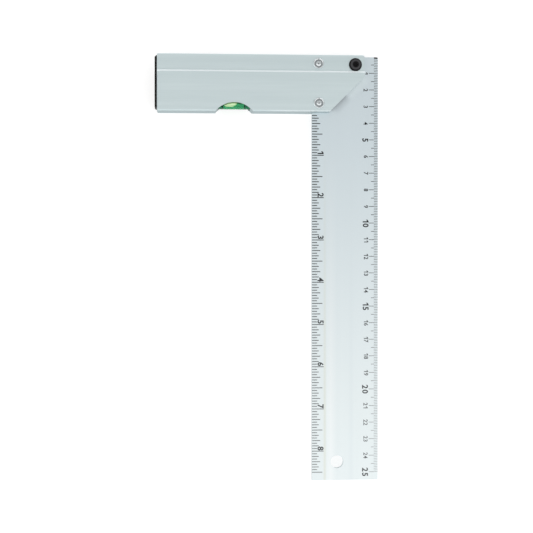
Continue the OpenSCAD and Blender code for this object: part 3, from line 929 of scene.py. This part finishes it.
def bubble_material():
    """The bubble: pale yellow green and glossy, with a painted glow, painted shade on its near side, and
    painted green round its rim and towards its right end.
    """
    # Its emission is a painted glow.
    material, tree, shader = new_material("vial_bubble", Metallic=0.0, IOR=1.36, Emission_Strength=0.52)
    low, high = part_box("vial_bubble")
    place = split(tree, spot_on_piece(tree))
    # Painted shade on the bubble's near side.
    near = times(tree, fade(tree, place["Y"], low.y + 0.0006, low.y + 0.0012, 1.0, 0.0), 0.8)
    # Painted green towards the right end, and round the rim by the Facing output.
    steep = 1.75
    slant = work(tree, "SUBTRACT", place["X"], times(tree, place["Y"], steep))
    tip = high.x - low.y * steep
    end = fade(tree, slant, tip - 0.0036, tip - 0.0022, 0.0, 1.0)
    glow = mix_colours(tree, near, paint(232, 252, 206), paint(190, 206, 168))
    tree.links.new(mix_colours(tree, end, glow, paint(60, 160, 100)), shader.inputs["Emission Color"])
    cloud = place_group(tree, fine_grain, Scale=260.0, Detail=2.0, Smoothest=0.05, Roughest=0.12)
    rim = add_node(tree, "ShaderNodeLayerWeight", {"Blend": 0.25}).outputs["Facing"]
    body = mix_colours(tree, cloud["Tone"], paint(216, 244, 178), paint(236, 252, 208))
    body = mix_colours(tree, near, body, paint(180, 200, 150))
    body = mix_colours(tree, rim, body, paint(120, 200, 120))
    tree.links.new(mix_colours(tree, end, body, paint(50, 160, 96)), shader.inputs["Base Color"])
    tree.links.new(cloud["Roughness"], shader.inputs["Roughness"])
    return material


def moulded_plastic(name, dark, light, rough):
    """Moulded plastic with a fine spark-eroded grain."""
    material, tree, shader = new_material(name, Metallic=0.0, Specular_IOR_Level=0.25)
    grain = place_group(
        tree, fine_grain, Scale=1500.0, Coarseness=0.6, Smoothest=rough - 0.08, Roughest=rough + 0.08
    )
    tree.links.new(mix_colours(tree, grain["Tone"], dark, light), shader.inputs["Base Color"])
    tree.links.new(grain["Roughness"], shader.inputs["Roughness"])
    raise_surface(tree, shader, grain["Tone"], 0.25, 0.00005)
    return material


vial_tube()
dress(["vial_fluid"], fluid_material())
dress(["vial_bubble"], bubble_material())
dress(["vial_plug"], moulded_plastic("plug_plastic", paint(170, 205, 182), paint(190, 222, 200), 0.4))
dress(
    ["left_marker_ring", "right_marker_ring"],
    moulded_plastic("marker_band", paint(4, 60, 40), paint(8, 76, 52), 0.5),
)


# The end cap is black moulded plastic. Its three hollow plugs are pressed into
# the chambers of the stock, and its flange covers the sawn end.
def moulded_cap():
    """The cap with its edges rounded as a mould leaves them, and its flange short of the inner edge."""
    stock_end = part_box("stock")[0].x
    flange_back = stock_end - 0.0002
    flange_front = stock_end + 0.00005
    thicker = 0.00008
    lift = 0.00075
    lifted_zone = 0.0014
    shape = bmesh.new()
    shape.from_mesh(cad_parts["end_cap"].data)
    bmesh.ops.remove_doubles(shape, verts=shape.verts, dist=0.000002)
    bmesh.ops.dissolve_limit(
        shape, angle_limit=math.radians(1.0), verts=shape.verts, edges=shape.edges
    )
    bottom = min(vertex.co.y for vertex in shape.verts)
    for vertex in shape.verts:
        if vertex.co.x < flange_back:
            vertex.co.x -= thicker
        if vertex.co.x < flange_front:
            share = (bottom + lifted_zone - vertex.co.y) / lifted_zone
            vertex.co.y += lift * max(0.0, min(1.0, share))
    outer = [
        edge for edge in shape.edges
        if len(edge.link_faces) == 2 and edge.calc_face_angle(0.0) > math.radians(25)
        and all(v.co.x < flange_back for v in edge.verts)
    ]
    bmesh.ops.bevel(
        shape, geom=outer, offset=0.00025, segments=3, profile=0.5, affect="EDGES", clamp_overlap=True
    )
    plastic = moulded_plastic("cap_plastic", paint(9, 9, 10), paint(18, 19, 20), 0.6)
    piece = finished_piece(shape, "moulded_cap", [plastic], 35)
    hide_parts("end_cap")
    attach(piece, "square")


moulded_cap()


# A plain white floor for the square to lie on. The camera and reflections see
# it near white, and it keeps the square's soft shadow.
def floor_piece():
    """One large white face, just under the square, brighter to the eye and in reflections than as a lamp."""
    mesh = bpy.data.meshes.new("floor")
    half = 3.0
    under = -0.0001
    shape = bmesh.new()
    corners = ((-half, -half), (half, -half), (half, half), (-half, half))
    shape.faces.new([shape.verts.new((x, y, under)) for x, y in corners])
    shape.to_mesh(mesh)
    shape.free()
    piece = bpy.data.objects.new("floor", mesh)
    bpy.context.scene.collection.objects.link(piece)
    material = bpy.data.materials.new("floor_white")
    material.use_nodes = True
    tree = material.node_tree
    tree.nodes.clear()
    path = add_node(tree, "ShaderNodeLightPath").outputs
    seen = work(
        tree, "MAXIMUM", path["Is Camera Ray"],
        work(tree, "MAXIMUM", path["Is Glossy Ray"], path["Is Transmission Ray"]),
    )
    plain = add_node(tree, "ShaderNodeBsdfDiffuse", {"Color": (0.8, 0.8, 0.8, 1.0)})
    pale = add_node(tree, "ShaderNodeBsdfDiffuse", {"Color": (0.42, 0.42, 0.42, 1.0)})
    glow = add_node(tree, "ShaderNodeEmission", {"Color": (1.0, 1.0, 1.0, 1.0), "Strength": 0.7})
    shown = add_node(tree, "ShaderNodeAddShader", {0: pale.outputs[0], 1: glow.outputs[0]})
    mixed = add_node(tree, "ShaderNodeMixShader", {0: seen, 1: plain.outputs[0], 2: shown.outputs[0]})
    add_node(tree, "ShaderNodeOutputMaterial", {"Surface": mixed.outputs[0]})
    mesh.materials.append(material)


floor_piece()


# Plain soft studio light: a white surround, brighter near the horizon and towards
# the blade's free end, a broad soft ceiling light that the blade mirrors, and
# lamps beyond the stock, which its edges catch.
def studio_light():
    """The surround, by the direction that a ray leaves in, and three lamps that look at the square."""
    white = (1.0, 1.0, 1.0, 1.0)
    world = bpy.data.worlds.new("studio")
    bpy.context.scene.world = world
    world.use_nodes = True
    tree = world.node_tree
    tree.nodes.clear()
    way = split(tree, add_node(tree, "ShaderNodeTexCoord").outputs["Generated"])
    behind = fade(tree, way["Y"], -0.25, 0.3, 0.965, 0.71)
    leftward = fade(tree, way["X"], -0.9, -0.3, 0.75, 1.0)
    level = fade(tree, way["Z"], 0.0, 1.0, times(tree, behind, leftward), 0.618)
    overhead = fade(tree, way["Z"], 0.36, 0.64, 0.0, 1.0)
    near_edge = fade(tree, way["Y"], 0.05, -0.09, 0.0, 1.0, interpolation_type="SMOOTHSTEP")
    far_edge = fade(tree, way["Y"], -0.4, -0.6, 1.0, 0.45)
    ceiling = times(tree, overhead, near_edge, far_edge, 1.02)
    strength = times(tree, level, work(tree, "ADD", 1.0, ceiling))
    colour = mix_colours(tree, ceiling, white, (1.0, 0.965, 0.96, 1.0))
    light = add_node(tree, "ShaderNodeBackground", {"Color": colour, "Strength": strength})
    seen = add_node(tree, "ShaderNodeBackground", {"Color": white, "Strength": 1.0})
    camera_ray = add_node(tree, "ShaderNodeLightPath").outputs["Is Camera Ray"]
    mixed = add_node(
        tree, "ShaderNodeMixShader", {0: camera_ray, 1: light.outputs[0], 2: seen.outputs[0]}
    )
    add_node(tree, "ShaderNodeOutputWorld", {"Surface": mixed.outputs[0]})
    for name, place, size, power in (
        ("outer_left_lamp", (-0.42, 0.95, 0.25), (0.5, 0.3), 0.55),
        ("outer_right_lamp", (0.6, 0.85, 0.25), (0.6, 0.3), 0.9),
        ("left_lamp", (-0.95, 0.0, 0.5), (0.9, 0.6), 1.2),
    ):
        lamp = bpy.data.lights.new(name, "AREA")
        lamp.shape = "RECTANGLE"
        lamp.size, lamp.size_y = size
        lamp.energy = power
        holder = bpy.data.objects.new(name, lamp)
        holder.location = place
        holder.rotation_euler = (-Vector(place)).to_track_quat("-Z", "Y").to_euler()
        bpy.context.scene.collection.objects.link(holder)


studio_light()


# The camera stands above the square, to the left of the blade, as the
# photograph was taken.
def photograph_camera():
    """The camera, fitted to the two printed scales as the photograph shows them."""
    lens = bpy.data.cameras.new("camera")
    lens.lens = 87.237
    lens.sensor_width = 36.0
    lens.clip_start = 0.05
    lens.clip_end = 20.0
    holder = bpy.data.objects.new("camera", lens)
    holder.location = (-0.055502, 0.010122, 0.780436)
    holder.rotation_euler = [math.radians(angle) for angle in (-0.6592, -4.0849, -0.0171)]
    bpy.context.scene.collection.objects.link(holder)
    bpy.context.scene.camera = holder


photograph_camera()
bpy.context.scene.view_settings.view_transform = "Standard"
